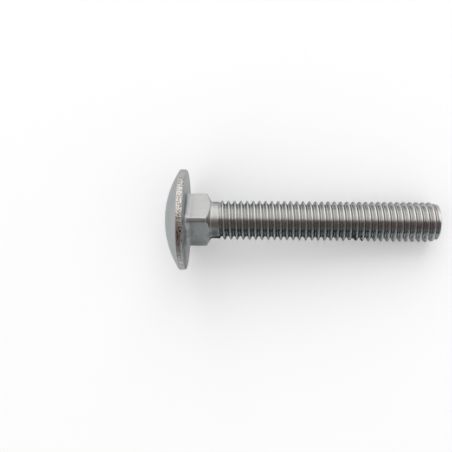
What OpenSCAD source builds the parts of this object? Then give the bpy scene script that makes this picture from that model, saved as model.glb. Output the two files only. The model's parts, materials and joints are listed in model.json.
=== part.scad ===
// Carriage bolt with a mushroom head, a square neck and a coarse thread rolled almost up to the neck.
// The bolt lies on its side: the rim of the head and the last full turn of the thread touch the ground,
// the head points to -X, the tip to +X, and one corner of the square neck points up.

/* [Head] */
// Diameter of the head across its rim
head_d = 20.3; // [18:0.05:22]
// Height of the head from the bearing face to the crown of the dome
head_h = 4.35; // [3.5:0.05:5.5]
// Height of the straight sheared band at the rim
rim_h = 1.3; // [0.8:0.05:2]
// Radius of the rolled edge between the rim and the bearing face
rim_under_r = 0.35; // [0.1:0.05:0.5]
// Radius of the edge between the dome and the rim
rim_top_r = 0.25; // [0.1:0.05:0.6]

/* [Square neck] */
// Width of the square neck across its flats
neck_w = 8; // [7.4:0.02:8.6]
// Width of the neck across its blunt corners
neck_corner_d = 10.4; // [9.6:0.05:11]
// Length of the neck over which its corners keep their full width
neck_full = 4.1; // [3:0.05:5]
// Angle from the bolt's axis at which the corners fall to the collar
blend_angle = 61; // [40:1:75]
// Radius of the hollow between the corners' end and the collar
blend_r = 0.5; // [0.2:0.05:0.8]
// Radius of the hollow between the neck and the bearing face
root_r = 0.6; // [0.2:0.05:0.8]

/* [Shank] */
// Length of the bolt from the bearing face to the end of the thread
shank_l = 50; // [20:1:120]
// Diameter of the plain collar between the neck and the thread
collar_d = 7.4; // [7.1:0.02:7.9]
// Distance from the bearing face to the first turn of the thread
thread_from = 6.15; // [5.2:0.05:8]

/* [Thread] */
// Diameter over the crests of the thread
thread_d = 7.92; // [7.76:0.01:7.98]
// Rise of the thread in one turn
pitch = 1.25; // [1:0.05:1.5]
// Angle between the two flanks of the thread
flank_angle = 60; // [55:1:60]
// Width of the flat crest as a share of the pitch
crest_share = 0.125; // [0.06:0.005:0.15]
// Width of the flat root as a share of the pitch
root_share = 0.1875; // [0.125:0.0025:0.3]
// Length over which the thread rises out of the collar
run_out = 1; // [0.3:0.05:2.5]
// Turn of the thread round the bolt's axis
thread_turn = 160; // [0:1:359]
// Number of flats in one turn of the thread
columns = 32; // [16:16:48]

/* [Tip] */
// Diameter over the crests at the flat end of the bolt
tip_d = 6.9; // [6:0.05:7.5]
// Length of the chamfer at the end of the thread
tip_chamfer = 1.5; // [0.5:0.05:2.5]

/* [Hidden] */
$fn = 96;
bright_steel = [0.72, 0.72, 0.70];
// clearance that keeps the faceted thread just inside the round collar
seat_gap = 0.005;
// the hollow at the neck's root meets the bearing face at a small angle and not tangentially
root_lift = 0.95 * root_r;
root_out = root_r - sqrt(pow(root_r, 2) - pow(root_lift, 2));

head_r = head_d / 2;
dome_h = head_h - rim_h;
dome_r = (pow(head_r, 2) + pow(dome_h, 2)) / (2 * dome_h);
dome_z = dome_r - head_h;
// centre of the round edge that touches both the dome and the rim
edge_x = head_r - rim_top_r;
edge_z = dome_z - sqrt(pow(dome_r - rim_top_r, 2) - pow(edge_x, 2));
edge_dir = [edge_x, edge_z - dome_z] / norm([edge_x, edge_z - dome_z]);

neck_half = neck_w / 2;
corner_r = neck_corner_d / 2;
collar_r = collar_d / 2;
// centre of the hollow that touches both the falling corners and the collar
blend_dir = [cos(blend_angle), sin(blend_angle)];
blend_x = collar_r + blend_r;
blend_z = neck_full + (blend_r - (blend_x - corner_r) * blend_dir[0]) / blend_dir[1];

thread_l = shank_l - thread_from;
crest_r = thread_d / 2;
tip_r = tip_d / 2;
flank_share = (1 - crest_share - root_share) / 2;
thread_depth = flank_share * pitch / tan(flank_angle / 2);
root_radius = crest_r - thread_depth;
step = pitch / columns;
// where the crest and the root begin and end within one turn, and the radius there
mark = [0, crest_share, crest_share + flank_share, 1 - flank_share];
mark_r = [crest_r, crest_r, root_radius, root_radius];
profile = [for (k = [0:4]) [k < 4 ? mark[k] : 1, mark_r[k % 4]]];
rows = 4 * (ceil(thread_l / pitch) + 2);
ring_ids = 2 * columns + 2;

// the tip side of the last full crest, which touches the ground, and the lean of the lying bolt
turn_shift = thread_from + (crest_share + thread_turn / 360) * pitch;
full_end = shank_l - tip_chamfer;
last_crest = turn_shift + floor((full_end - turn_shift) / pitch) * pitch;
lean_a = head_r - rim_under_r - crest_r;
lean_b = last_crest + rim_under_r;
lean = acos(-rim_under_r / norm([lean_a, lean_b])) - atan2(lean_b, lean_a);
lift = crest_r * cos(lean) + last_crest * sin(lean);
box_from = dome_z * cos(lean) - dome_r;
box_to = shank_l * cos(lean) + tip_r * sin(lean);

// half section of the mushroom head, with the bearing face at zero and the dome below it
module head_section() {
    difference() {
        union() {
            difference() {
                intersection() {
                    translate([0, dome_z]) circle(r = dome_r);
                    union() {
                        translate([0, -head_h]) square([head_r, head_h - rim_under_r]);
                        translate([0, -head_h]) square([head_r - rim_under_r, head_h]);
                    }
                }
                polygon([
                    [edge_x, edge_z],
                    [head_r, edge_z],
                    [head_r + rim_top_r, edge_z - 2 * rim_top_r],
                    [0, dome_z] + (dome_r + rim_top_r) * edge_dir
                ]);
            }
            translate([edge_x, edge_z]) circle(r = rim_top_r);
            translate([head_r - rim_under_r, -rim_under_r]) circle(r = rim_under_r);
        }
        translate([-2 * head_r, -2 * head_h]) square([2 * head_r, 4 * head_h]);
    }
}

// one pair of flats of the neck with the hollow at their root
module flats_section() {
    difference() {
        union() {
            translate([-neck_half, 0]) square([neck_w, thread_from]);
            translate([-neck_half - root_out, 0]) square([neck_w + 2 * root_out, root_lift]);
        }
        for (side = [-1, 1])
            translate([side * (neck_half + root_r), root_lift]) circle(r = root_r);
    }
}

// half section that blunts the corners of the neck and turns them down to the collar
module corner_section() {
    difference() {
        union() {
            square([collar_r, thread_from]);
            polygon([
                [0, 0], [corner_r, 0], [corner_r, neck_full],
                [blend_x, blend_z] - blend_r * blend_dir,
                [blend_x, blend_z], [0, blend_z]
            ]);
            square([corner_r + root_out, root_lift]);
        }
        translate([corner_r + root_r, root_lift]) circle(r = root_r);
        translate([blend_x, blend_z]) circle(r = blend_r);
    }
}

module head() {
    rotate_extrude() head_section();
}

module neck() {
    intersection() {
        for_flats(0);
        for_flats(90);
        rotate_extrude() corner_section();
    }
}

// one pair of flats, long enough to reach past the blunt corners
module for_flats(turn) {
    rotate([90, 0, turn + 45])
        linear_extrude(height = neck_corner_d + 4 * root_r, center = true)
            flats_section();
}

// radius of the thread at a height: it rises out of the collar and is cut down by the chamfer
function thread_r(k, z) =
    let (
        share = min(1, z / run_out),
        free = collar_r - seat_gap + share * (mark_r[k % 4] - collar_r + seat_gap),
        cone = tip_r + (thread_l - z) * (crest_r - tip_r) / tip_chamfer
    ) min(free, cone);

function thread_z(i, k) = (floor(k / 4) - 1 + mark[k % 4]) * pitch + i * step;

// vertex number in column i and row k: past either end of the thread it is a point of the end ring
function thread_id(i, k) =
    i == columns ? thread_id(0, k + 4) :
    thread_z(i, k) < step / 2 ? i :
    thread_z(i, k) > thread_l - step / 2 ? columns + i :
    ring_ids + k * columns + i;

// radius of the cut across the thread at its end, which isn't round because the crest climbs across it
function end_r(i) =
    let (turn = (thread_l - i * step) / pitch) min(tip_r, lookup(turn - floor(turn), profile));

// points at one height, with a radius for each column
function ring(radii, z) = [
    for (i = [0:columns - 1])
        let (a = 360 * i / columns) [radii[i] * cos(a), radii[i] * sin(a), z]
];

// helical thread as one closed skin whose edges follow the crest and the root
module thread() {
    points = concat(
        ring([for (i = [0:columns - 1]) collar_r - seat_gap], 0),
        ring([for (i = [0:columns - 1]) end_r(i)], thread_l),
        [[0, 0, 0], [0, 0, thread_l]],
        [
            for (k = [0:rows + 4], i = [0:columns - 1])
                let (
                    z = max(0, min(thread_l, thread_z(i, k))),
                    r = thread_r(k, z),
                    a = 360 * i / columns
                ) [r * cos(a), r * sin(a), z]
        ]
    );
    skin = [
        for (k = [0:rows - 1], i = [0:columns - 1])
            let (
                a = thread_id(i, k),
                b = thread_id(i, k + 1),
                c = thread_id(i + 1, k + 1),
                d = thread_id(i + 1, k)
            )
            for (t = [[a, b, c], [a, c, d]])
                if (t[0] != t[1] && t[1] != t[2] && t[2] != t[0]) t
    ];
    caps = [
        for (i = [0:columns - 1])
            let (n = (i + 1) % columns)
            for (t = [
                [2 * columns, i, n],
                [2 * columns + 1, columns + n, columns + i]
            ]) t
    ];
    polyhedron(points = points, faces = concat(skin, caps), convexity = 10);
}

module upright_bolt() {
    union() {
        head();
        neck();
        translate([0, 0, thread_from]) rotate([0, 0, -thread_turn]) thread();
    }
}

module carriage_bolt() {
    color(bright_steel)
        translate([-(box_from + box_to) / 2, 0, lift])
            rotate([0, 90 + lean, 0])
                upright_bolt();
}

carriage_bolt();
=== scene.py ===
# %% [markdown]
# # A carriage bolt, lying on a white table
#
# A carriage bolt is cold-formed from one piece of wire: one blow upsets the low dome of the head, another
# squeezes the square neck, and two dies then roll the thread up to a short plain collar.
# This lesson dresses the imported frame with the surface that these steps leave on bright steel. Everything on
# the bolt is drawn along its own axis, in millimetres, and then laid down in the frame's pose.

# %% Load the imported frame
import json
import math

import bpy
import numpy as np
from mathutils import Matrix, Vector


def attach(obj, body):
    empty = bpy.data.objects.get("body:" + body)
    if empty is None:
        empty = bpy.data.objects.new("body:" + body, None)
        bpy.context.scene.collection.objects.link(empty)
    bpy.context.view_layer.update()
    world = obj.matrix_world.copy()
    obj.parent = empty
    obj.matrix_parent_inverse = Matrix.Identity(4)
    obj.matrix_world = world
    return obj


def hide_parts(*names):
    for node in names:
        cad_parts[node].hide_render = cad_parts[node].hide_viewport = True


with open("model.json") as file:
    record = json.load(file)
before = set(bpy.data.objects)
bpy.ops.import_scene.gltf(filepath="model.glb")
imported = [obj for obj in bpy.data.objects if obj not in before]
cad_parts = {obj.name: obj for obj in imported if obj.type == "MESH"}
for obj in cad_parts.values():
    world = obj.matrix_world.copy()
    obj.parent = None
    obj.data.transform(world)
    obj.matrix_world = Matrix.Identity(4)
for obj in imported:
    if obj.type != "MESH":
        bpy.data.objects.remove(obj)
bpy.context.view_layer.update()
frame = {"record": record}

# %% [markdown]
# ## The pose
#
# The record states the bearing face under the head as a mount: a point on the bolt's axis and the direction
# towards the tip. These two are enough to lay any piece of the bolt in place, so nothing is fitted by eye.

# %% The bolt's axis in the frame
MM = 0.001
under_head = next(m for m in frame["record"]["mounts"] if m["name"] == "under_head")
seat = Vector(under_head["pos_m"])
along = Vector(under_head["axis"]).normalized()
side = Vector((0, 1, 0))
down = side.cross(along)
LAY = Matrix.Translation(seat) @ Matrix((down, side, along)).transposed().to_4x4() @ Matrix.Scale(MM, 4)


def in_frame(z):
    """A point of the bolt's axis, z millimetres from the bearing face, as a point of the frame in metres."""
    return LAY @ Vector((0, 0, z))


print("head at", tuple(round(v, 5) for v in in_frame(0)), "tip at", tuple(round(v, 5) for v in in_frame(50)))

# %% [markdown]
# ## The sizes
#
# They are the ones of the bolt's drawing: the dome is a slice of a sphere, the rim is the band where the
# blank was sheared, and the corners of the neck are blunt because the wire never fills the die's corners.

# %% Sizes in millimetres
HEAD_R = 10.15
HEAD_H = 4.35
RIM_H = 1.3
RIM_UNDER_R = 0.35
RIM_TOP_R = 0.25
NECK_HALF = 4.0
CORNER_R = 5.2
NECK_FULL = 4.1
BLEND_ANGLE = math.radians(61)
BLEND_R = 0.5
COLLAR_R = 3.7
THREAD_FROM = 6.15
SHANK_L = 50.0
DOME_H = HEAD_H - RIM_H
DOME_R = (HEAD_R**2 + DOME_H**2) / (2 * DOME_H)
DOME_Z = DOME_R - HEAD_H
print("radius of the dome", round(DOME_R, 2))

# %% [markdown]
# ## The head and the neck
#
# The head is round and the neck is square, yet both are one skin. A box and a dome joined by a Boolean would
# leave a sharp seam, so the piece is a loft: a list of stations from the crown to the collar, each with a
# height and a radius at every angle. On the head the radius is the same all round. On the neck it follows
# the flats and is held back at the corners, and a soft minimum rolls the edge between them as a die does.
# The flat bearing face simply runs from the circle of the rim to the outline of the neck.

# %% A soft corner between two radii


def soft_min(a, b, width):
    """The smaller of two values, with the corner between them rounded over a width."""
    h = np.clip(0.5 + 0.5 * (b - a) / width, 0, 1)
    return b + (a - b) * h - width * h * (1 - h)


print("soft minimum of 4 and 4 over 0.4:", round(float(soft_min(4.0, 4.0, 0.4)), 2))

# %% Angles round the bolt: every 2.5 degrees, and closer together at the edges of the neck
EDGE_TURN = math.degrees(math.acos(NECK_HALF / CORNER_R))
near_edge = np.linspace(-2.5, 2.5, 13)
quarter = sorted(
    set(np.round(np.linspace(-45, 45, 37)[:-1], 3))
    | set(np.round(near_edge - EDGE_TURN, 3))
    | set(np.round(near_edge + EDGE_TURN, 3))
)
turns = np.concatenate([np.array(quarter) + 45 + 90 * q for q in range(4)])
from_flat = np.radians(turns % 90 - 45)
print("angles round the head", len(turns))

# %% Stations of the head


def arc(centre, radius, start, end, steps):
    """Points (radius, z) on an arc between two angles in degrees, 0 pointing outwards and 90 to the tip."""
    return [
        (centre[0] + radius * math.cos(t), centre[1] + radius * math.sin(t))
        for t in np.radians(np.linspace(start, end, steps))
    ]


edge_x = HEAD_R - RIM_TOP_R
edge_z = DOME_Z - math.sqrt((DOME_R - RIM_TOP_R) ** 2 - edge_x**2)
dome_end = math.degrees(math.atan2(edge_z - DOME_Z, edge_x))
crown = arc((0, DOME_Z), DOME_R, -90, dome_end, 64)
rim = arc((edge_x, edge_z), RIM_TOP_R, dome_end, 0, 7)[1:]
band = [(HEAD_R, z) for z in np.linspace(edge_z, -RIM_UNDER_R, 12)[1:]]
under = arc((HEAD_R - RIM_UNDER_R, -RIM_UNDER_R), RIM_UNDER_R, 0, 90, 9)[1:]
head_stations = crown + rim + band + under
print("stations of the head", len(head_stations))

# %% Sizes of the neck's soft forms in millimetres
# the hollow at the root: its reach at the corners and along the neck, and how soft it makes the edges
ROOT_OUT, ROOT_UP, ROOT_ROLL = 0.55, 1.05, 0.3
# where the sides are fullest, by how much, and how many times that at the corners
BULGE_AT, NECK_BULGE, CORNERS_FULLER = 2.3, 0.05, 1.3
# how far the flats lie inside the nominal width, and the roll of the edges beside them
FLATS_SHY, EDGE_ROLL = 0.03, 0.1
# the height from which the corners may fall, and the roll where they begin to
FALLS_BEYOND, FALL_ROLL = 2, 0.12
print("flats at mid length, half width", NECK_HALF + NECK_BULGE - FLATS_SHY)

# %% Outline of the neck at a height
BLEND_X = COLLAR_R + BLEND_R
BLEND_Z = NECK_FULL + (BLEND_R - (BLEND_X - CORNER_R) * math.cos(BLEND_ANGLE)) / math.sin(BLEND_ANGLE)


def falling_corner(z):
    """Radius of the cone on which the corners fall to the collar, with a hollow at its foot."""
    if z > BLEND_Z:
        return COLLAR_R
    if z > BLEND_Z - BLEND_R * math.sin(BLEND_ANGLE):
        return BLEND_X - math.sqrt(BLEND_R**2 - (BLEND_Z - z) ** 2)
    return CORNER_R - (z - NECK_FULL) * math.tan(BLEND_ANGLE)


def neck_radius(z):
    """Radius at every angle of the square neck, a little fuller at mid length, with a hollow at its root."""
    bulge = NECK_BULGE * (1 - ((z - BULGE_AT) / BULGE_AT) ** 2) if z < 2 * BULGE_AT else 0.0
    reach = max(0.0, 1 - z / ROOT_UP)
    hollow = 1 - math.sqrt(1 - reach**2)
    corner = CORNER_R + CORNERS_FULLER * bulge + ROOT_OUT * hollow
    if z > FALLS_BEYOND:
        corner = soft_min(corner, falling_corner(z), FALL_ROLL)
    flat = (NECK_HALF + bulge - FLATS_SHY + ROOT_UP * hollow) / np.cos(from_flat)
    return soft_min(flat, corner, EDGE_ROLL + ROOT_ROLL * hollow)


middle = neck_radius(2.0)
print("outline at mid neck", round(float(middle.min()), 3), round(float(middle.max()), 3))

# %% Stations of the neck
root_heights = ROOT_UP * (1 - np.cos(np.linspace(0, math.pi / 2, 14)))
neck_heights = [*root_heights, *np.linspace(1.2, 3.9, 12), *np.linspace(3.95, 5.45, 26)]
neck_stations = [(neck_radius(z), z) for z in neck_heights]
# the skin ends inside the collar of the thread's skin
inner_end = [(np.full(len(turns), COLLAR_R - 0.12), 5.6), (np.full(len(turns), 3.1), 5.7)]
# eight more rings share out the flat bearing face
outline = neck_stations[0][0]
bearing = [
    ((HEAD_R - RIM_UNDER_R) * (1 - share) + outline * share, 0.0) for share in np.linspace(0, 1, 10)[1:-1]
]
print("stations of the neck", len(neck_stations))

# %% Loft the skin


def add_piece(name, mesh):
    """Lays a mesh drawn along the bolt in its pose and shows it, smooth."""
    mesh.transform(LAY)
    mesh.polygons.foreach_set("use_smooth", [True] * len(mesh.polygons))
    piece = bpy.data.objects.new(name, mesh)
    bpy.context.scene.collection.objects.link(piece)
    return piece


def loft(name, stations):
    """A closed skin through stations of (radius or radii, z); the first and last shrink to a point."""
    n = len(turns)
    angle = np.radians(turns)
    rings = []
    for radius, z in stations:
        radius = np.broadcast_to(radius, n)
        rings.append(np.stack([radius * np.cos(angle), radius * np.sin(angle), np.full(n, z)], 1))
    first, last = rings[0].mean(0), rings[-1].mean(0)
    verts = [tuple(first)] + [tuple(p) for ring in rings[1:] for p in ring] + [tuple(last)]
    faces = [(0, 1 + (i + 1) % n, 1 + i) for i in range(n)]
    for k in range(len(rings) - 2):
        a, b = 1 + k * n, 1 + (k + 1) * n
        faces += [(a + i, a + (i + 1) % n, b + (i + 1) % n, b + i) for i in range(n)]
    end, a = len(verts) - 1, 1 + (len(rings) - 2) * n
    faces += [(a + i, a + (i + 1) % n, end) for i in range(n)]
    mesh = bpy.data.meshes.new(name)
    mesh.from_pydata(verts, [], faces)
    return add_piece(name, mesh)


head = loft("head_and_neck", head_stations + bearing + neck_stations + inner_end)
print("head and neck faces", len(head.data.polygons))

# %% [markdown]
# ## The rolled thread
#
# A thread is one ridge that climbs round the shank. A Screw modifier could sweep it, but not let it grow out
# of the collar and end in a chamfer, so Geometry Nodes make it from its rule. The tree takes a flat grid. One
# side of the grid is one turn round the shank, the other counts the turns, and the height of a point is the
# sum of the two, so the rows of the grid run along the ridge and its edges stay clean. The radius is a V with
# its crest and its root rounded. It grows out of the collar at one end, is cut down by the chamfer at the
# other, and the rows that run past the end fold in to close it.

# %% A small helper for node trees


class Wires:
    """Adds nodes to a tree and joins them, so that a formula reads from left to right."""

    def __init__(self, tree):
        self.tree = tree

    def feed(self, socket, value):
        if isinstance(value, bpy.types.NodeSocket):
            self.tree.links.new(value, socket)
        else:
            socket.default_value = value

    def node(self, kind, inputs=(), **settings):
        made = self.tree.nodes.new(kind)
        for key, value in settings.items():
            setattr(made, key, value)
        for key, value in inputs.items() if isinstance(inputs, dict) else enumerate(inputs):
            self.feed(made.inputs[key], value)
        return made

    def math(self, operation, *values, clamp=False):
        return self.node("ShaderNodeMath", values, operation=operation, use_clamp=clamp).outputs[0]

    def ramp(self, value, start, end, first=0.0, last=1.0, soft=True):
        """Goes from first to last while the value goes from start to end."""
        sockets = {"Value": value, "From Min": start, "From Max": end, "To Min": first, "To Max": last}
        kind = "SMOOTHSTEP" if soft else "LINEAR"
        return self.node("ShaderNodeMapRange", sockets, interpolation_type=kind).outputs[0]


print("helper", Wires.__name__)

# %% Sizes of the thread in millimetres
THREAD_TURN = 160
CREST_SHARE = 0.125
THREAD_SIZES = {
    "Pitch": 1.25,
    "Crest Radius": 3.96,
    "Root Radius": 3.21,
    "Crest Width": 0.15,
    "Crest Rounding": 0.07,
    "Root Rounding": 0.3,
    "Collar Radius": COLLAR_R,
    "Collar Length": 0.9,
    "Run Out": 1.0,
    "Length": SHANK_L - THREAD_FROM,
    "Phase": THREAD_TURN / 360 + CREST_SHARE / 2,
    "Tip Radius": 3.45,
    "Tip Chamfer": 1.5,
    "Tip Edge": 0.14,
}
FLANK_FROM_UPRIGHT = math.radians(30)
CHAMFER_ROUNDING = 0.08
print("thread length", round(THREAD_SIZES["Length"], 2))

# %% The grid that the thread is bent from
ROUND, ROWS_A_TURN = 96, 20
# turns of spare rows before the collar, and the part of a turn over which an end folds in
TURNS_BEFORE, FOLD_TURNS = 2, 0.8
span = SHANK_L - THREAD_FROM + THREAD_SIZES["Collar Length"]
turns_counted = math.ceil(span / THREAD_SIZES["Pitch"]) + TURNS_BEFORE + 1
print("turns of the grid", turns_counted)

# %% Height of the ridge


def ridge_radius(w, g, z, u):
    """Radius of the endless ridge: a V round the crest line, with its crest and root rounded."""
    climbed = w.math("SUBTRACT", w.math("SUBTRACT", w.math("DIVIDE", z, g["Pitch"]), u), g["Phase"])
    # a hundred turns more keep the number above nought, where the ping-pong is sure of its way
    away = w.math("MULTIPLY", w.math("PINGPONG", w.math("ADD", climbed, 100.0), 0.5), g["Pitch"])
    steep = 1 / math.tan(FLANK_FROM_UPRIGHT)
    apex = w.math("ADD", g["Crest Radius"], w.math("MULTIPLY", g["Crest Width"], steep / 2))
    flank = w.math("SUBTRACT", apex, w.math("MULTIPLY", away, steep))
    ridge = w.math("SMOOTH_MIN", flank, g["Crest Radius"], g["Crest Rounding"])
    return w.math("SMOOTH_MAX", ridge, g["Root Radius"], g["Root Rounding"])


def trimmed_radius(w, g, z, ridge):
    """The ridge as it grows out of the collar and is cut down by the chamfer of the tip."""
    rise = w.ramp(z, 0.0, g["Run Out"])
    grown = w.math("MULTIPLY", rise, w.math("SUBTRACT", ridge, g["Collar Radius"]))
    radius = w.math("ADD", g["Collar Radius"], grown)
    fall = w.math("SUBTRACT", g["Crest Radius"], g["Tip Radius"])
    slope = w.math("DIVIDE", fall, g["Tip Chamfer"])
    cone = w.math("MULTIPLY", slope, w.math("SUBTRACT", g["Length"], z))
    return w.math("SMOOTH_MIN", radius, w.math("ADD", g["Tip Radius"], cone), CHAMFER_ROUNDING)


print("parts of the ridge's rule", ridge_radius.__name__, trimmed_radius.__name__)

# %% Ends that fold in


def folded_ends(w, g, raw, start, end, radius):
    """Past either end the radius shrinks to the axis, and at the tip a quarter circle rounds the edge."""
    beyond = w.math("MAXIMUM", w.math("SUBTRACT", raw, end), 0.0)
    before = w.math("MAXIMUM", w.math("SUBTRACT", start, raw), 0.0)
    fold = w.math("MULTIPLY", g["Pitch"], FOLD_TURNS)
    past = w.math("DIVIDE", w.math("ADD", beyond, before), fold, clamp=True)
    folded = w.math("POWER", past, 2.0)
    closed = w.math("MULTIPLY", radius, w.math("SUBTRACT", 1.0, folded))
    inwards = w.math("DIVIDE", w.math("MULTIPLY", folded, radius), g["Tip Edge"], clamp=True)
    turned = w.math("SUBTRACT", 1.0, inwards)
    roll = w.math("SQRT", w.math("SUBTRACT", 1.0, w.math("MULTIPLY", turned, turned)))
    at_tip = w.math("GREATER_THAN", raw, end)
    return closed, w.math("MULTIPLY", w.math("MULTIPLY", roll, g["Tip Edge"]), at_tip)


print("the ends fold in over", FOLD_TURNS, "turns")

# %% The tree of the rolled thread


def thread_tree():
    tree = bpy.data.node_groups.new("rolled_thread", "GeometryNodeTree")
    tree.is_modifier = True
    tree.interface.new_socket("Geometry", in_out="OUTPUT", socket_type="NodeSocketGeometry")
    for name, value in THREAD_SIZES.items():
        tree.interface.new_socket(name, in_out="INPUT", socket_type="NodeSocketFloat").default_value = value
    tree.interface.new_socket("Steel", in_out="INPUT", socket_type="NodeSocketMaterial")
    w = Wires(tree)
    g = w.node("NodeGroupInput").outputs
    rows = turns_counted * ROWS_A_TURN + 1
    sheet = {"Size X": 1.0, "Size Y": turns_counted, "Vertices X": ROUND + 1, "Vertices Y": rows}
    grid = w.node("GeometryNodeMeshGrid", sheet).outputs["Mesh"]
    flat = w.node("ShaderNodeSeparateXYZ", [w.node("GeometryNodeInputPosition").outputs[0]]).outputs
    u = w.math("ADD", flat["X"], 0.5)
    row = w.math("ADD", flat["Y"], turns_counted / 2 - TURNS_BEFORE)
    # the rows climb from the collar to the tip, and those beyond either end stay at it
    start = w.math("MULTIPLY", g["Collar Length"], -1.0)
    end = w.math("SUBTRACT", g["Length"], g["Tip Edge"])
    raw = w.math("ADD", w.math("MULTIPLY", w.math("ADD", row, u), g["Pitch"]), start)
    z = w.math("MINIMUM", w.math("MAXIMUM", raw, start), end)
    radius = trimmed_radius(w, g, z, ridge_radius(w, g, z, u))
    closed, lift = folded_ends(w, g, raw, start, end, radius)
    angle = w.math("MULTIPLY", u, 2 * math.pi)
    x = w.math("MULTIPLY", closed, w.math("COSINE", angle))
    y = w.math("MULTIPLY", closed, w.math("SINE", angle))
    z = w.math("ADD", w.math("ADD", z, lift), THREAD_FROM)
    spot = w.node("ShaderNodeCombineXYZ", [x, y, z]).outputs[0]
    skin = w.node("GeometryNodeSetPosition", {"Geometry": grid, "Position": spot}).outputs[0]
    skin = w.node("GeometryNodeMergeByDistance", {"Geometry": skin, "Distance": 0.0005}).outputs[0]
    skin = w.node("GeometryNodeRealizeInstances", [skin]).outputs[0]
    skin = w.node("GeometryNodeSetMaterial", {"Geometry": skin, "Material": g["Steel"]}).outputs[0]
    w.node("NodeGroupOutput", [skin])
    return tree


rolled_tree = thread_tree()
print("nodes in the thread's tree", len(rolled_tree.nodes))

# %% Build the thread and keep it as a plain mesh


def bake(name, tree, sizes, material):
    """Runs a tree on an empty object and keeps its result as a plain mesh, laid in the bolt's pose."""
    carrier = bpy.data.objects.new(name + "_carrier", bpy.data.meshes.new(name + "_carrier"))
    bpy.context.scene.collection.objects.link(carrier)
    modifier = carrier.modifiers.new("tree", "NODES")
    modifier.node_group = tree
    sockets = {s.name: s.identifier for s in tree.interface.items_tree if s.in_out == "INPUT"}
    for key, value in sizes.items():
        modifier[sockets[key]] = value
    modifier[sockets["Steel"]] = material
    bpy.context.view_layer.update()
    evaluated = carrier.evaluated_get(bpy.context.evaluated_depsgraph_get())
    mesh = bpy.data.meshes.new_from_object(evaluated)
    mesh.name = name
    carrier.modifiers.clear()
    bpy.data.objects.remove(carrier)
    return add_piece(name, mesh)


rolled_steel = bpy.data.materials.new("rolled_steel")
rolled_steel.use_nodes = True
thread = bake("threaded_shank", rolled_tree, THREAD_SIZES, rolled_steel)
print("thread triangles", sum(len(p.vertices) - 2 for p in thread.data.polygons))

# %% [markdown]
# ## Knocked crests
#
# A bolt that has rolled about in a box has a few crests knocked blunt, and the steel that is pushed aside
# fills the root beside them. The photo shows two such crests on the shaded side, and a third that was only
# touched. A carved dent would need its own mesh, so here the points of the thread near a knock are simply
# pressed into a band of radii.

# %% Blunt crests where the thread was knocked
KNOCKS = (
    # along the bolt, turn, half length, half spread, lowest and highest radius
    (32.65, 262, 0.55, 30, 3.25, 3.74),
    (33.85, 268, 0.6, 34, 3.45, 3.84),
    (35.15, 270, 0.5, 22, 3.35, 3.9),
)


def knock(piece, z, turn, length, spread, low, high):
    """Presses the thread between two radii round one place; length in millimetres, spread in degrees."""
    to_bolt = LAY.inverted()
    for vertex in piece.data.vertices:
        p = to_bolt @ vertex.co
        r = math.hypot(p.x, p.y)
        off = (math.degrees(math.atan2(p.y, p.x)) - turn + 180) % 360 - 180
        near = max(0.0, 1 - (abs(p.z - z) / length) ** 3) * max(0.0, 1 - (abs(off) / spread) ** 2)
        if near > 0 and r > 2:
            pressed = min(max(r, low), high)
            k = (r + (pressed - r) * min(1.0, 2 * near)) / r
            vertex.co = LAY @ Vector((p.x * k, p.y * k, p.z))


for one in KNOCKS:
    knock(thread, *one)
print("knocks", len(KNOCKS))

# %% [markdown]
# ## Riding on the frame
#
# The two skins stand for the one solid of the frame, so both ride on its body and both replace its node. The
# collar is where they meet: the head's skin dives into the thread's, well out of sight.

# %% Join the skins to the frame
headed_steel = bpy.data.materials.new("headed_steel")
headed_steel.use_nodes = True
head.data.materials.append(headed_steel)
for piece in (head, thread):
    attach(piece, "root")
    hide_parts("carriage_bolt")
print("pieces", [p.name for p in (head, thread)])

# %% [markdown]
# ## Bright steel
#
# The whole bolt is one plain bright steel, but each tool leaves its own skin on it. The dies press the dome
# and the neck smooth with a faint satin mottle, the trimming die tears the rim into a coarse grain, and the
# rolling dies draw fine lines along the thread. Grime lies where fingers and rags don't reach, and painted
# shade darkens the hollow under the head, a stretch of the rim, the shaded side of the collar and the roots.
# Pictures could give all this, but they stretch and they don't travel with the part, so each is a small shader
# group, and those that both skins need are placed in both materials with their own values. They all need to
# know where they are on the bolt, and the first group works that out from the object coordinates, in
# millimetres.

# %% Helpers for shader groups


def new_group(name, inputs, outputs):
    """A shader group with named sockets: inputs as {name: default}, outputs as {name: type}."""
    tree = bpy.data.node_groups.new(name, "ShaderNodeTree")
    for key, value in inputs.items():
        kind = "NodeSocketVector" if isinstance(value, tuple) else "NodeSocketFloat"
        tree.interface.new_socket(key, in_out="INPUT", socket_type=kind).default_value = value
    for key, kind in outputs.items():
        tree.interface.new_socket(key, in_out="OUTPUT", socket_type=kind)
    w = Wires(tree)
    return tree, w, w.node("NodeGroupInput").outputs, w.node("NodeGroupOutput").inputs


def noise(w, point, size, detail, roughness=0.5, distortion=0.0):
    """Cloudy noise with features about as large as a size in millimetres."""
    scale = w.math("DIVIDE", 1.0, size)
    sockets = {"Vector": point, "Scale": scale, "Detail": detail, "Roughness": roughness}
    return w.node("ShaderNodeTexNoise", {**sockets, "Distortion": distortion}).outputs["Fac"]


def centred(w, value, weight):
    """A noise moved to the middle of zero and weighted."""
    return w.math("MULTIPLY", w.math("SUBTRACT", value, 0.5), weight)


NUMBER, POINT = "NodeSocketFloat", "NodeSocketVector"
print("helpers", new_group.__name__, noise.__name__, centred.__name__)

# %% A group that finds the place on the bolt


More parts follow.
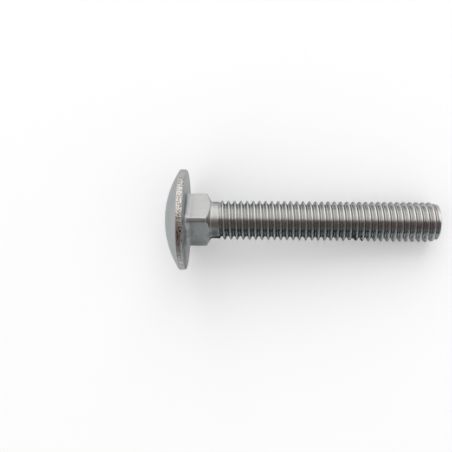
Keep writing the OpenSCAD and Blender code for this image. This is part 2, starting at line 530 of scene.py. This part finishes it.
def place_group():
    """Object coordinates turned into the bolt's own: x down, y sideways, z along, radius and turn."""
    outputs = {"Point": POINT, "Along": NUMBER, "Radius": NUMBER, "Turn": NUMBER}
    tree, w, g, out = new_group("bolt_place", {}, outputs)
    at = w.node("ShaderNodeTexCoord").outputs["Object"]
    from_seat = w.node("ShaderNodeVectorMath", [at, tuple(seat)], operation="SUBTRACT").outputs[0]
    x, y, z = (
        w.node("ShaderNodeVectorMath", [from_seat, tuple(way / MM)], operation="DOT_PRODUCT").outputs["Value"]
        for way in (down, side, along)
    )
    w.feed(out["Point"], w.node("ShaderNodeCombineXYZ", [x, y, z]).outputs[0])
    w.feed(out["Along"], z)
    squares = w.math("ADD", w.math("MULTIPLY", x, x), w.math("MULTIPLY", y, y))
    w.feed(out["Radius"], w.math("SQRT", squares))
    w.feed(out["Turn"], w.math("DIVIDE", w.math("ARCTAN2", y, x), 2 * math.pi))
    return tree


bolt_place = place_group()
print("group", bolt_place.name)

# %% [markdown]
# ### The satin mottle
#
# Steel that was pressed and then tumbled in a barrel has soft patches, a fine tooth and a few small dings.
# Patches and tooth are two noises of different size, and the dings are the middles of a few chosen cells.

# %% A group for the satin mottle of pressed steel


def satin_group():
    sizes = {"Patch Size": 2.5, "Tooth Size": 0.12, "Ding Size": 1.1, "Ding Share": 0.1}
    outputs = {"Shade": NUMBER, "Roughness": NUMBER, "Height": NUMBER}
    tree, w, g, out = new_group("pressed_satin", {"Point": (0.0, 0.0, 0.0), **sizes}, outputs)
    patch = noise(w, g["Point"], g["Patch Size"], detail=4.0, roughness=0.6)
    tooth = noise(w, g["Point"], g["Tooth Size"], detail=3.0, roughness=0.6)
    scale = w.math("DIVIDE", 1.0, g["Ding Size"])
    cells = w.node("ShaderNodeTexVoronoi", {"Vector": g["Point"], "Scale": scale}).outputs
    lot = w.node("ShaderNodeSeparateColor", [cells["Color"]]).outputs["Red"]
    ding = w.ramp(cells["Distance"], 0.05, 0.2, first=1.0, last=0.0)
    ding = w.math("MULTIPLY", ding, w.math("LESS_THAN", lot, g["Ding Share"]))
    deep = w.math("MULTIPLY", ding, 0.3)
    w.feed(out["Shade"], w.math("ADD", centred(w, patch, weight=1.6), centred(w, tooth, weight=0.8)))
    w.feed(out["Roughness"], w.math("ADD", centred(w, patch, weight=0.8), deep))
    waves = w.math("ADD", w.math("MULTIPLY", patch, 0.5), w.math("MULTIPLY", tooth, 0.12))
    w.feed(out["Height"], w.math("SUBTRACT", waves, deep))
    return tree


pressed_satin = satin_group()
print("group", pressed_satin.name)

# %% [markdown]
# ### The torn rim
#
# The trimming die cuts the first part of the rim and tears the rest, so a coarse grain runs round the head
# between two ragged lines. One short stretch of the rim was cut clean. The grain could be real bumps, but it
# is a quarter of a millimetre wide, so a mask, a shade and a height are enough.

# %% A group for the torn grain of the sheared rim
# the middle of the clean stretch and the limits of its half, in turns from the underside
CLEAN_MIDDLE, CLEAN_HALF = 0.25, (0.075, 0.11)


def torn_group():
    inputs = {"Point": (0.0, 0.0, 0.0), "Along": 0.0, "Radius": 0.0, "Turn": 0.0}
    limits = {"Grain Size": 0.27, "From": -1.22, "To": -0.1, "Inside": 9.93}
    outputs = {"Mask": NUMBER, "Shade": NUMBER, "Height": NUMBER}
    tree, w, g, out = new_group("torn_grain", {**inputs, **limits}, outputs)
    grain = noise(w, g["Point"], g["Grain Size"], detail=1.5, distortion=0.3)
    broad = noise(w, g["Point"], w.math("MULTIPLY", g["Grain Size"], 4.0), detail=2.0)
    ragged = w.math("ADD", centred(w, grain, weight=0.35), centred(w, broad, weight=0.3))
    z = w.math("ADD", g["Along"], ragged)
    rise = w.ramp(z, w.math("SUBTRACT", g["From"], 0.05), w.math("ADD", g["From"], 0.05), soft=False)
    fall_from, fall_to = w.math("SUBTRACT", g["To"], 0.04), w.math("ADD", g["To"], 0.04)
    fall = w.ramp(z, fall_from, fall_to, first=1.0, last=0.0, soft=False)
    outside = w.ramp(g["Radius"], g["Inside"], w.math("ADD", g["Inside"], 0.08), soft=False)
    away = w.math("ABSOLUTE", w.math("SUBTRACT", g["Turn"], CLEAN_MIDDLE))
    torn_here = w.ramp(w.math("ADD", away, centred(w, grain, weight=0.03)), *CLEAN_HALF, soft=False)
    mask = w.math("MULTIPLY", w.math("MULTIPLY", w.math("MULTIPLY", rise, fall), outside), torn_here)
    w.feed(out["Mask"], mask)
    pits = w.ramp(grain, 0.4, 0.54)
    w.feed(out["Shade"], pits)
    w.feed(out["Height"], w.math("ADD", w.math("MULTIPLY", pits, 0.35), grain))
    return tree


torn_grain = torn_group()
print("group", torn_grain.name)

# %% [markdown]
# ### Grime and painted shade
#
# Black grime sits in the knocked crests and round the collar, and a soft dark film is painted as shade over
# the hollow under the head and on the shaded side of the collar. Both could be painted on by hand, but a
# painted mask needs a picture. So each is a few patches round a point, with an edge that a noise makes ragged.
# Grime has a hard, crumbly edge and the painted shade a soft one, and the same group serves both.

# %% A group for a dark patch


def patch_group():
    inputs = {"Point": (0.0, 0.0, 0.0), "Centre": (0.0, 0.0, 0.0), "Size": 1.0}
    edge_look = {"Crumb Size": 0.3, "Raggedness": 1.8, "Softness": 0.3, "Strength": 1.0}
    tree, w, g, out = new_group("dark_patch", {**inputs, **edge_look}, {"Mask": NUMBER})
    points = [g["Point"], g["Centre"]]
    far = w.node("ShaderNodeVectorMath", points, operation="DISTANCE").outputs["Value"]
    crumbs = noise(w, g["Point"], g["Crumb Size"], detail=3.0, roughness=0.6)
    edge = w.math("ADD", 1.0, centred(w, crumbs, weight=g["Raggedness"]))
    edge = w.math("SUBTRACT", edge, w.math("DIVIDE", far, g["Size"]))
    w.feed(out["Mask"], w.math("MULTIPLY", w.ramp(edge, 0.0, g["Softness"]), g["Strength"], clamp=True))
    return tree


dark_patch = patch_group()
print("group", dark_patch.name)

# %% A place on the bolt's skin


def round_the_bolt(z, radius, turn):
    """The bolt's own x, y, z in millimetres: z from the bearing face, turn in degrees from the underside."""
    a = math.radians(turn)
    return (radius * math.cos(a), radius * math.sin(a), z)


print("on the collar, one quarter round:", tuple(round(v, 2) for v in round_the_bolt(6, COLLAR_R, 90)))

# %% Where the patches are: place, size, size of the crumbs, strength
KNOCK_GRIME = (
    (round_the_bolt(33.9, 3.7, 272), 0.9, 0.3, 1.0),
    (round_the_bolt(33.8, 3.7, 257), 0.95, 0.3, 1.0),
    (round_the_bolt(33.3, 3.7, 241), 0.75, 0.3, 1.0),
    (round_the_bolt(35.2, 3.75, 272), 0.7, 0.3, 1.0),
    (round_the_bolt(35.1, 3.75, 258), 0.65, 0.3, 1.0),
    (round_the_bolt(32.5, 3.7, 262), 0.6, 0.3, 0.85),
)
COLLAR_GRIME = (
    (round_the_bolt(4.9, 3.8, 252), 0.65, 0.3, 0.9),
    (round_the_bolt(5.6, 3.75, 256), 0.95, 0.3, 0.95),
    (round_the_bolt(6.4, 3.75, 252), 1.0, 0.3, 1.0),
    (round_the_bolt(7.2, 3.7, 250), 0.8, 0.3, 1.0),
    (round_the_bolt(7.0, 3.7, 268), 0.6, 0.3, 0.9),
)
# painted shade: a soft dark film over the hollow under the head and the foot of the neck
UNDER_HEAD_PAINTED_SHADE = (
    (round_the_bolt(0.3, 5.7, 223), 3.0, 1.0, 0.9),
    (round_the_bolt(-0.1, 7.4, 198), 3.2, 1.0, 0.75),
    (round_the_bolt(-0.1, 8.8, 212), 4.2, 1.0, 0.9),
    (round_the_bolt(-0.1, 8.4, 236), 4.2, 1.0, 0.7),
    (round_the_bolt(-0.2, 9.4, 256), 3.6, 0.45, 0.7),
    (round_the_bolt(2.2, 5.4, 260), 4.4, 1.0, 0.5),
)
# painted shade: a soft dark film on the shaded side of the collar
COLLAR_PAINTED_SHADE = ((round_the_bolt(5.6, 3.8, 228), 2.1, 1.0, 0.9),)
print("patches", len(KNOCK_GRIME + COLLAR_GRIME + UNDER_HEAD_PAINTED_SHADE + COLLAR_PAINTED_SHADE))

# %% Helpers that put groups into a material


def place(w, group, **inputs):
    """One use of a group; a blank in a socket's name is written as an underscore."""
    used = w.node("ShaderNodeGroup", node_tree=group)
    for key, value in inputs.items():
        w.feed(used.inputs[key.replace("_", " ")], value)
    return used.outputs


def mix_colour(w, factor, first, second):
    made = w.node("ShaderNodeMix", data_type="RGBA")
    for number, value in ((0, factor), (6, first), (7, second)):
        w.feed(made.inputs[number], value)
    return made.outputs[2]


def mix_value(w, factor, first, second):
    made = w.node("ShaderNodeMix", data_type="FLOAT")
    for number, value in ((0, factor), (2, first), (3, second)):
        w.feed(made.inputs[number], value)
    return made.outputs[0]


def grime(w, point, patches):
    """Mask of the crumbly patches."""
    mask = 0.0
    for centre, size, crumb, strength in patches:
        spot = place(w, dark_patch, Point=point, Centre=centre, Size=size, Crumb_Size=crumb, Strength=strength)
        mask = w.math("MAXIMUM", mask, spot["Mask"])
    return mask


def painted_shade(w, point, patches):
    """Mask of the soft patches of painted shade."""
    mask = 0.0
    for centre, size, crumb, strength in patches:
        look = {"Crumb_Size": crumb, "Raggedness": 0.8, "Softness": 1.0, "Strength": strength}
        spot = place(w, dark_patch, Point=point, Centre=centre, Size=size, **look)
        mask = w.math("MAXIMUM", mask, spot["Mask"])
    return mask


print("helpers", place.__name__, mix_colour.__name__, mix_value.__name__, grime.__name__, painted_shade.__name__)

# %% [markdown]
# ## The pressed skin of head and neck
#
# The satin mottle covers everything the dies pressed, and the torn grain takes over on the rim, where one
# stretch is painted darker and browner as shade. Mottle, grain, shade film and grime each change three things
# together: how light the steel is, how blurred its mirror is and how the surface undulates. One flat grey
# would do from afar, but bright steel lives from these small changes.

# %% Colours of the head and the neck
PRESSED = ((0.39, 0.40, 0.405, 1), (0.47, 0.48, 0.485, 1))
TORN = ((0.27, 0.24, 0.23, 1), (0.53, 0.525, 0.515, 1))
# painted shade: darker, browner colours for one stretch of the rim, from the top round towards the shaded side
RIM_PAINTED_SHADE = ((0.07, 0.03, 0.025, 1), (0.46, 0.41, 0.395, 1))
HEAD_AT_GRAZING = (0.68, 0.70, 0.705, 1)
GRIME_BLACK = (0.012, 0.012, 0.013, 1)
# the colour of the painted shade film
PAINTED_SHADE_GREY = (0.075, 0.09, 0.095, 1)
# the painted shade film hides this share of the metal
PAINTED_SHADE_COVER = 0.85
print("pressed steel from", PRESSED[0][:3], "to", PRESSED[1][:3])

# %% Where the head and the neck are torn, grimy or painted with shade
# the stretch of the rim that is painted darker and browner as shade, in turns from the underside
RIM_SHADE_BEGINS, RIM_SHADE_ENDS = (-0.5, -0.46), (-0.435, -0.395)
w = Wires(headed_steel.node_tree)
shader = headed_steel.node_tree.nodes["Principled BSDF"]
where = place(w, bolt_place)
point, turn = where["Point"], where["Turn"]
satin = place(w, pressed_satin, Point=point, Tooth_Size=0.25, Ding_Size=1.6, Ding_Share=0.04)
torn = place(w, torn_grain, Point=point, Along=where["Along"], Radius=where["Radius"], Turn=turn)
# painted shade on that stretch of the rim
rim_shade = w.math("MULTIPLY", w.ramp(turn, *RIM_SHADE_BEGINS), w.ramp(turn, *RIM_SHADE_ENDS, first=1.0, last=0.0))
# the painted shade film stays on the neck's side of the head, off the rim and the dome
behind = w.ramp(where["Along"], -0.5, -0.25, soft=False)
shade_film = w.math("MULTIPLY", painted_shade(w, point, UNDER_HEAD_PAINTED_SHADE + COLLAR_PAINTED_SHADE), behind)
dirt = grime(w, point, COLLAR_GRIME)
covered = w.math("MAXIMUM", shade_film, dirt)
print("nodes that find the places", len(headed_steel.node_tree.nodes))

# %% How the head's colours lie over each other
mottle = w.math("ADD", 0.5, satin["Shade"], clamp=True)
pressed = mix_colour(w, mottle, *PRESSED)
# painted shade: the dark film under the head and on the collar
pressed = mix_colour(w, shade_film, pressed, PAINTED_SHADE_GREY)
pressed = mix_colour(w, dirt, pressed, GRIME_BLACK)
grained = mix_colour(w, torn["Shade"], *TORN)
# the rim's stretch of painted shade takes the darker, browner colours
grained = mix_colour(w, rim_shade, grained, mix_colour(w, torn["Shade"], *RIM_PAINTED_SHADE))
w.feed(shader.inputs["Base Color"], mix_colour(w, torn["Mask"], pressed, grained))
# the grime and the painted shade film take away some of the metal
bare = w.math("SUBTRACT", 1.0, w.math("MAXIMUM", dirt, w.math("MULTIPLY", shade_film, PAINTED_SHADE_COVER)))
w.feed(shader.inputs["Metallic"], bare)
# steel is no perfect mirror either where it is seen at a grazing angle
shader.inputs["Specular Tint"].default_value = HEAD_AT_GRAZING
shader.inputs["Specular IOR Level"].default_value = 0.25
print("nodes so far", len(headed_steel.node_tree.nodes))

# %% Roughness and relief of the head and the neck
PRESSED_BLUR, TORN_BLUR, DULL, BLUR_CHANGE = 0.30, 0.15, 0.8, 0.25
# how deep the relief is, in millimetres
PRESSED_RELIEF, TORN_RELIEF = 0.012, 0.07
soft = w.math("ADD", PRESSED_BLUR, w.math("MULTIPLY", satin["Roughness"], BLUR_CHANGE))
soft = mix_value(w, covered, soft, DULL)
w.feed(shader.inputs["Roughness"], mix_value(w, torn["Mask"], soft, TORN_BLUR))
low = w.math("MULTIPLY", satin["Height"], PRESSED_RELIEF)
high = w.math("MULTIPLY", torn["Height"], TORN_RELIEF)
relief = mix_value(w, torn["Mask"], low, high)
bump = w.node("ShaderNodeBump", {"Height": relief, "Distance": MM, "Strength": 1.0})
w.feed(shader.inputs["Normal"], bump.outputs[0])
print("nodes in headed steel", len(headed_steel.node_tree.nodes))

# %% [markdown]
# ## The rolled skin of the thread
#
# Rolling dies slide a little as they press, and so they draw fine lines along the ridge. A noise stretched
# along the shank would cross the ridge, so the pattern follows the climb instead: height along the bolt less
# one pitch for each turn round it stays the same all along a line. The roots are painted a little darker as
# shade, and darker still on the shaded side of the bolt.

# %% A group for lines that follow the thread


def drawn_group():
    inputs = {"Point": (0.0, 0.0, 0.0), "Along": 0.0, "Radius": 0.0, "Turn": 0.0}
    sizes = {"Pitch": 1.25, "Lines a Millimetre": 14.0, "Root": 3.25}
    outputs = {"Shade": NUMBER, "Root Mask": NUMBER, "Height": NUMBER}
    tree, w, g, out = new_group("drawn_lines", {**inputs, **sizes}, outputs)
    climb = w.math("SUBTRACT", g["Along"], w.math("MULTIPLY", g["Turn"], g["Pitch"]))
    across = w.math("MULTIPLY", climb, g["Lines a Millimetre"])
    deep = w.math("MULTIPLY", g["Radius"], g["Lines a Millimetre"])
    line_at = w.node("ShaderNodeCombineXYZ", [across, deep, 0.0]).outputs[0]
    slow = (0.25, 0.25, 0.25)
    drift = w.node("ShaderNodeVectorMath", [g["Point"], slow], operation="MULTIPLY").outputs[0]
    line_at = w.node("ShaderNodeVectorMath", [line_at, drift], operation="ADD").outputs[0]
    lines = noise(w, line_at, size=1.0, detail=2.0, roughness=0.6)
    w.feed(out["Shade"], w.math("SUBTRACT", lines, 0.5))
    root_top = w.math("ADD", g["Root"], 0.3)
    w.feed(out["Root Mask"], w.ramp(g["Radius"], g["Root"], root_top, first=1.0, last=0.0))
    w.feed(out["Height"], lines)
    return tree


drawn_lines = drawn_group()
print("group", drawn_lines.name)

# %% Colours of the thread
ROLLED = ((0.50, 0.505, 0.505, 1), (0.60, 0.60, 0.595, 1))
# painted shade: the colour of the roots
ROOT_PAINTED_SHADE = (0.33, 0.325, 0.32, 1)
ON_COLLAR = (0.35, 0.355, 0.355, 1)
# painted shade in the roots of the shaded side
SIDE_ROOT_PAINTED_SHADE = (0.13, 0.145, 0.15, 1)
THREAD_AT_GRAZING = (0.34, 0.37, 0.38, 1)
print("rolled steel from", ROLLED[0][:3], "to", ROLLED[1][:3])

# %% Where the thread is plain, grimy or painted with shade
# the side whose roots are painted with shade, in turns from the underside, the rest in millimetres along the
# bolt and out from its axis
SHADED_SIDE_BEGINS, SHADED_SIDE_ENDS = (-0.435, -0.385), (-0.17, -0.1)
THINS_OUT, END_FACE = (32.0, 47.0), (2.8, 3.1)
w = Wires(rolled_steel.node_tree)
shader = rolled_steel.node_tree.nodes["Principled BSDF"]
where = place(w, bolt_place)
point, z, turn = where["Point"], where["Along"], where["Turn"]
satin = place(w, pressed_satin, Point=point, Patch_Size=1.6, Ding_Share=0.06)
lines = place(w, drawn_lines, Point=point, Along=z, Radius=where["Radius"], Turn=turn)
collar = w.ramp(z, THREAD_FROM, THREAD_FROM + 0.6, first=1.0, last=0.0)
# painted shade: the roots of the shaded side are painted darker, less so towards the tip and not on the end
# face
shaded_side = w.math("MULTIPLY", w.ramp(turn, *SHADED_SIDE_BEGINS), w.ramp(turn, *SHADED_SIDE_ENDS, first=1.0, last=0.0))
thinning = w.ramp(z, *THINS_OUT, first=1.0, last=0.35)
thinning = w.math("MULTIPLY", thinning, w.ramp(where["Radius"], *END_FACE, soft=False))
in_roots = w.math("ADD", 0.4, w.math("MULTIPLY", lines["Root Mask"], 0.45))
root_side_shade = w.math("MULTIPLY", shaded_side, w.math("MULTIPLY", thinning, in_roots))
# painted shade: the dark film on the shaded side of the collar
shade_film = painted_shade(w, point, COLLAR_PAINTED_SHADE)
dirt = grime(w, point, KNOCK_GRIME + COLLAR_GRIME)
covered = w.math("MAXIMUM", shade_film, dirt)
print("nodes that find the places", len(rolled_steel.node_tree.nodes))

# %% How the thread's colours lie over each other
streaks = w.math("ADD", satin["Shade"], w.math("MULTIPLY", lines["Shade"], 0.8))
streaks = w.math("ADD", 0.5, streaks, clamp=True)
bright = mix_colour(w, streaks, *ROLLED)
# painted shade: the roots are a little darker
bright = mix_colour(w, w.math("MULTIPLY", lines["Root Mask"], 0.3), bright, ROOT_PAINTED_SHADE)
bright = mix_colour(w, w.math("MULTIPLY", collar, 0.7), bright, ON_COLLAR)
# painted shade in the roots of the shaded side
bright = mix_colour(w, root_side_shade, bright, SIDE_ROOT_PAINTED_SHADE)
# the painted shade film on the collar takes its dark grey
bright = mix_colour(w, shade_film, bright, PAINTED_SHADE_GREY)
w.feed(shader.inputs["Base Color"], mix_colour(w, dirt, bright, GRIME_BLACK))
bare = w.math("SUBTRACT", 1.0, w.math("MAXIMUM", dirt, w.math("MULTIPLY", shade_film, PAINTED_SHADE_COVER)))
w.feed(shader.inputs["Metallic"], bare)
shader.inputs["Specular Tint"].default_value = THREAD_AT_GRAZING
print("nodes so far", len(rolled_steel.node_tree.nodes))

# %% Roughness and relief of the thread
ROLLED_BLUR, COLLAR_BLUR = 0.19, 0.34
ROLLED_RELIEF, LINE_RELIEF = 0.01, 0.006
blur = w.math("MULTIPLY", satin["Roughness"], BLUR_CHANGE)
blur = w.math("ADD", blur, w.math("MULTIPLY", lines["Root Mask"], 0.08))
soft = mix_value(w, collar, w.math("ADD", ROLLED_BLUR, blur), COLLAR_BLUR)
w.feed(shader.inputs["Roughness"], mix_value(w, covered, soft, DULL))
relief = w.math("MULTIPLY", satin["Height"], ROLLED_RELIEF)
relief = w.math("ADD", relief, w.math("MULTIPLY", lines["Height"], LINE_RELIEF))
bump = w.node("ShaderNodeBump", {"Height": relief, "Distance": MM, "Strength": 1.0})
w.feed(shader.inputs["Normal"], bump.outputs[0])
print("nodes in rolled steel", len(rolled_steel.node_tree.nodes))

# %% [markdown]
# ## The camera
#
# The photograph looks down on the lying bolt from close by, square to its axis and from above the first turns
# of the thread. So the camera stands on the line that leaves the axis there, and is turned a little towards
# the head, which brings the bolt to its place in the frame. A shift of the lens would do the same, but it
# would stay on in every other view.

# %% Camera
# the picture's side and the focal length in pixels, and the roll in radians
PHOTO, FOCAL_PIXELS, ROLL = 452, 618.5, 0.011
# millimetres: away from the axis, the place on it below the camera, the place looked at, and past its side
CAMERA_AWAY, STANDS_OVER, LOOKS_AT, LOOKS_ASIDE = 125, 11.8, 7.9, 1.2
right = along * math.cos(ROLL) + side * math.sin(ROLL)
stands = in_frame(STANDS_OVER) - down * CAMERA_AWAY * MM
back = (stands - in_frame(LOOKS_AT) + side * LOOKS_ASIDE * MM).normalized()
up = back.cross(right).normalized()
right = up.cross(back)
lens = bpy.data.cameras.new("camera")
lens.sensor_width = 36
lens.lens = FOCAL_PIXELS * lens.sensor_width / PHOTO
lens.clip_start = 0.005
camera = bpy.data.objects.new("camera", lens)
camera.matrix_world = Matrix.Translation(stands) @ Matrix((right, up, back)).transposed().to_4x4()
bpy.context.scene.collection.objects.link(camera)
bpy.context.scene.camera = camera
print("lens", round(lens.lens, 2), "mm")

# %% [markdown]
# ## The table
#
# A wide pale table carries the bolt and takes its shadow. One white paint right out to the horizon would
# either look grey far away or throw too much light back at the bolt. So the table is a plain matt white near
# the bolt and turns into the white of the room further off, for the camera and for mirrors only, and no
# horizon shows.

# %% A table that fades into the room
TABLE_HALF = 4
TABLE_WHITE = (0.90, 0.90, 0.90, 1)
FADES_FROM, FADES_TO = 0.12, 0.6


def seen_directly(w):
    """One for rays from the camera, from a mirror or through glass, else nought."""
    path = w.node("ShaderNodeLightPath").outputs
    mirrored = w.math("MAXIMUM", path["Is Glossy Ray"], path["Is Transmission Ray"])
    return w.math("MAXIMUM", path["Is Camera Ray"], mirrored)


scene = bpy.context.scene
table_mesh = bpy.data.meshes.new("table")
corners = [(x * TABLE_HALF, y * TABLE_HALF, 0) for x, y in ((-1, -1), (1, -1), (1, 1), (-1, 1))]
table_mesh.from_pydata(corners, [], [(0, 1, 2, 3)])
table = bpy.data.objects.new("table", table_mesh)
scene.collection.objects.link(table)
table_white = bpy.data.materials.new("table_white")
table_white.use_nodes = True
w = Wires(table_white.node_tree)
shader = table_white.node_tree.nodes["Principled BSDF"]
shader.inputs["Base Color"].default_value = TABLE_WHITE
shader.inputs["Roughness"].default_value = 0.8
shader.inputs["Specular IOR Level"].default_value = 0.0
centre = w.node("ShaderNodeTexCoord").outputs["Object"]
far = w.node("ShaderNodeVectorMath", [centre], operation="LENGTH").outputs["Value"]
fade = w.math("MULTIPLY", w.ramp(far, FADES_FROM, FADES_TO), seen_directly(w))
room = w.node("ShaderNodeEmission", {"Color": (1, 1, 1, 1), "Strength": 1.0})
blend = w.node("ShaderNodeMixShader", [fade, shader.outputs[0], room.outputs[0]])
w.feed(table_white.node_tree.nodes["Material Output"].inputs["Surface"], blend.outputs[0])
table_mesh.materials.append(table_white)
print("table", 2 * TABLE_HALF, "m wide")

# %% [markdown]
# ## Light
#
# The room itself is the main light, white all round, and one large soft lamp behind the bolt gives the
# shadow its direction. Bright metal is mostly a mirror, so what it shows is what stands round it. A
# photographer sets cards along small steel parts to give them form, and so does this scene: a white and a
# pale one on the far side, a brown one overhead, a teal and a slate one on the near side. Lamps could stand
# there too, but they would light the table as well. Only the metal sees the cards.

# %% World
ROOM_LIGHT = 0.89
world = bpy.data.worlds.new("room")
scene.world = world
world.use_nodes = True
w = Wires(world.node_tree)
sky = world.node_tree.nodes["Background"]
sky.inputs["Color"].default_value = (1, 1, 1, 1)
strength = w.math("ADD", ROOM_LIGHT, w.math("MULTIPLY", seen_directly(w), 1 - ROOM_LIGHT))
w.feed(sky.inputs["Strength"], strength)
print("room light", ROOM_LIGHT)

# %% Lamp


def soft_lamp(name, turn, height, distance, size, power):
    """A square lamp that faces the bolt: turn from +X towards +Y, height above the table, in degrees."""
    t, h = math.radians(turn), math.radians(height)
    direction = Vector((math.cos(t) * math.cos(h), math.sin(t) * math.cos(h), math.sin(h)))
    light = bpy.data.lights.new(name, "AREA")
    light.shape, light.size, light.energy = "SQUARE", size, power
    lamp = bpy.data.objects.new(name, light)
    faces = direction.to_track_quat("Z", "Y").to_matrix().to_4x4()
    lamp.matrix_world = Matrix.Translation(direction * distance) @ faces
    lamp.visible_camera = lamp.visible_glossy = False
    scene.collection.objects.link(lamp)
    return lamp


key = soft_lamp("key", turn=86, height=40, distance=1.0, size=0.9, power=4.2)
print("lamp", key.name)

# %% Cards


def long_card(name, colour, near_angle, far_angle, distance, half_length):
    """A card along the bolt that only the metal sees, between two angles from straight up towards -Y."""
    corners = []
    for sign, angle in ((-1, near_angle), (1, near_angle), (1, far_angle), (-1, far_angle)):
        a = math.radians(angle)
        corners.append((sign * half_length, -distance * math.sin(a), distance * math.cos(a)))
    mesh = bpy.data.meshes.new(name)
    mesh.from_pydata(corners, [], [(0, 1, 2, 3)])
    paint = bpy.data.materials.new(name)
    paint.use_nodes = True
    w = Wires(paint.node_tree)
    paint.node_tree.nodes.remove(paint.node_tree.nodes["Principled BSDF"])
    glow = w.node("ShaderNodeEmission", {"Color": colour, "Strength": 1.0})
    w.feed(paint.node_tree.nodes["Material Output"].inputs["Surface"], glow.outputs[0])
    mesh.materials.append(paint)
    card = bpy.data.objects.new(name, mesh)
    scene.collection.objects.link(card)
    card.visible_camera = card.visible_diffuse = card.visible_shadow = False
    return card


CARDS = (
    # name, colour, near angle, far angle, distance, half length
    ("white_card", (1.6, 1.56, 1.50, 1), -92, -27, 0.4, 1.2),
    ("pale_card", (1.36, 1.32, 1.26, 1), -27, -9, 0.4, 1.2),
    ("brown_card", (0.20, 0.165, 0.155, 1), -9, 56, 0.3, 1.2),
    ("teal_card", (0.31, 0.355, 0.365, 1), 56, 74, 0.34, 1.5),
    ("slate_card", (0.13, 0.16, 0.17, 1), 74, 92, 0.34, 1.5),
)
print("cards", [long_card(*card).name for card in CARDS])

# %% The view transform
scene.view_settings.view_transform = "Standard"
